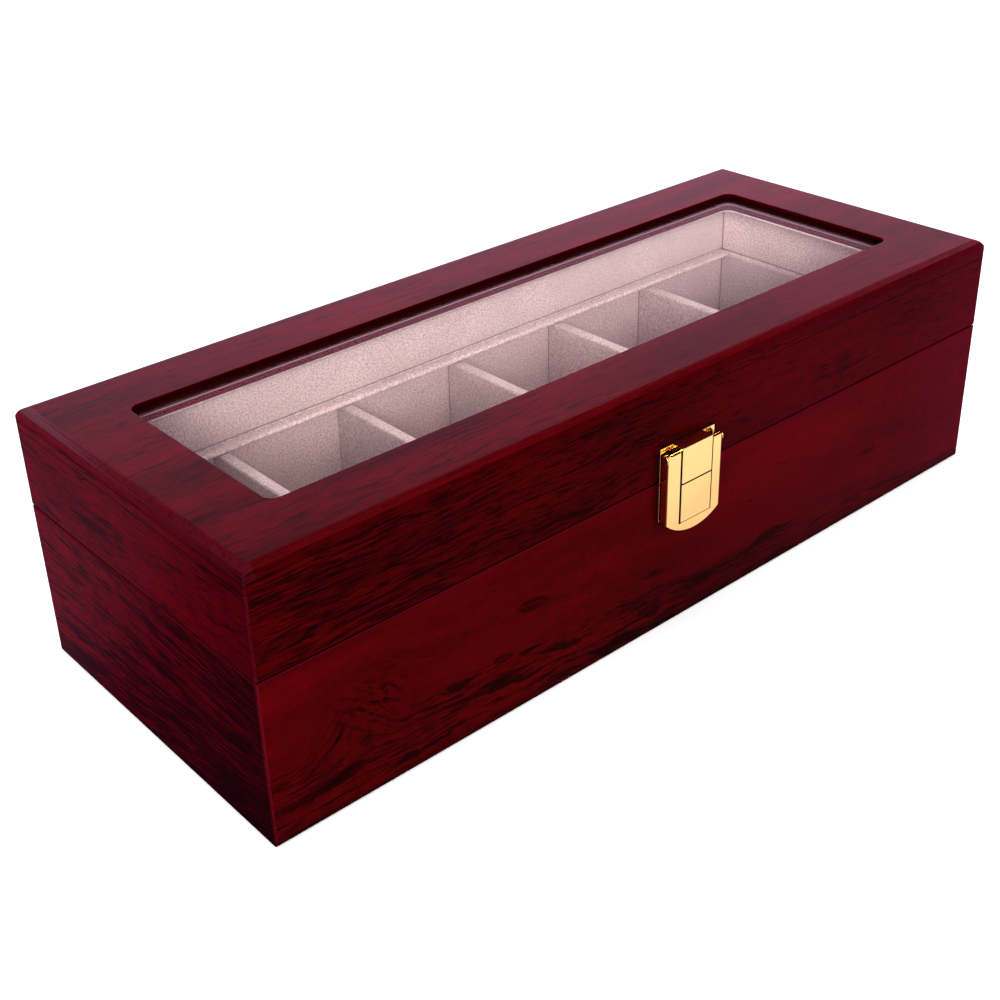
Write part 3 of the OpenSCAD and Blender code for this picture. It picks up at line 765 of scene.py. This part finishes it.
def add_floor():
    bpy.ops.mesh.primitive_plane_add(size=12, location=(0, 0, 0))
    floor = bpy.context.object
    floor.name = "floor"
    r = recipe("pale_floor")
    tone = r.noise(r.vector(*r.place()), 1 / 120, 2.0)
    color = r.mix_color(tone, STAGE_DEEP, STAGE_PALE)
    floor.data.materials.append(r.principled({"Base Color": color, "Roughness": 0.9,
                                              "Specular IOR Level": 0.1}))
    floor.visible_glossy = False


def add_camera():
    """The photograph's viewpoint: front-left of the box and above it, slightly rolled."""
    azimuth, elevation, roll = (math.radians(a) for a in (-39.54, 28.61, -2.20))
    distance, aside, below = 499.0 * MM, -26.1 * MM, -6.6 * MM
    back = Vector((math.sin(azimuth) * math.cos(elevation),
                   -math.cos(azimuth) * math.cos(elevation), math.sin(elevation)))
    level = (-back).cross(Vector((0, 0, 1))).normalized()
    upright = level.cross(-back)
    right = level * math.cos(roll) + upright * math.sin(roll)
    up = upright * math.cos(roll) - level * math.sin(roll)
    middle = Vector((0, 0, (cad_box[0].z + cad_box[1].z) / 2))
    data = bpy.data.cameras.new("camera")
    data.sensor_width = 36
    data.lens = 53.76
    data.shift_x, data.shift_y = 0.0313, -0.0465
    data.clip_start, data.clip_end = 0.01, 50
    camera = bpy.data.objects.new("camera", data)
    bpy.context.scene.collection.objects.link(camera)
    turn = Matrix((right, up, back)).transposed().to_4x4()
    camera.matrix_world = Matrix.Translation(middle + back * distance + right * aside
                                             + up * below) @ turn
    bpy.context.scene.camera = camera


def add_softbox(name, place, aim, size, watts):
    data = bpy.data.lights.new(name, "AREA")
    data.shape = "RECTANGLE"
    data.size, data.size_y = size
    data.energy = watts
    lamp = bpy.data.objects.new(name, data)
    bpy.context.scene.collection.objects.link(lamp)
    lamp.location = place
    lamp.rotation_euler = (Vector(aim) - Vector(place)).to_track_quat("-Z", "Y").to_euler()


def studio_world():
    """A pale studio: a bright wall behind the box, a softer one in front of it, and a floor
    that is bright in front and dark at the left."""
    r = Recipe(bpy.data.worlds.new("studio"))
    x, y, z = r.split(r.node("ShaderNodeTexCoord").outputs["Generated"])
    behind = r.smooth(r.plus(r.times(y, 0.77), x, 0.64), 0.1, 0.7)
    wall = r.mix_color(r.smooth(z, 0.38, 0.58), STUDIO_WALL, STUDIO_WALL_HIGH)
    wall = r.toned(wall, r.plus(1.0, r.smooth(y, 0.5, 0.75), 0.4))
    upper = r.mix_color(behind, STUDIO_IN_FRONT, wall)
    in_front = r.smooth(r.times(y, -1.0), 0.1, 0.5)
    left_floor = r.mix_color(r.smooth(y, 0.735, 0.80), STUDIO_LEFT_FLOOR,
                             STUDIO_LEFT_FLOOR_FAR)
    front_floor = r.mix_color(r.smooth(z, -0.56, -0.44), STUDIO_FLOOR, STUDIO_FLOOR_FAR)
    lower = r.mix_color(in_front, left_floor, front_floor)
    color = r.mix_color(r.smooth(z, -0.05, 0.1), lower, upper)
    return r.finish(r.node("ShaderNodeBackground", {"Color": color}).outputs[0],
                    "ShaderNodeOutputWorld")


def add_light():
    bpy.context.scene.world = studio_world()
    add_softbox("key", place=(-2.0, -2.7, 1.25), aim=(0, 0, 0.04), size=(1.6, 1.2), watts=172)
    add_softbox("sky", place=(0.0, 0.0, 3.0), aim=(0, 0, 0), size=(2.4, 2.4), watts=52)
    bpy.context.scene.view_settings.view_transform = "Standard"
    bpy.context.scene.view_settings.look = "None"


# ---------------------------------------------------------------- the scene

dress_cad_nodes()
line_box()
finish_metal()
ease_window()
add_floor()
add_camera()
add_light()
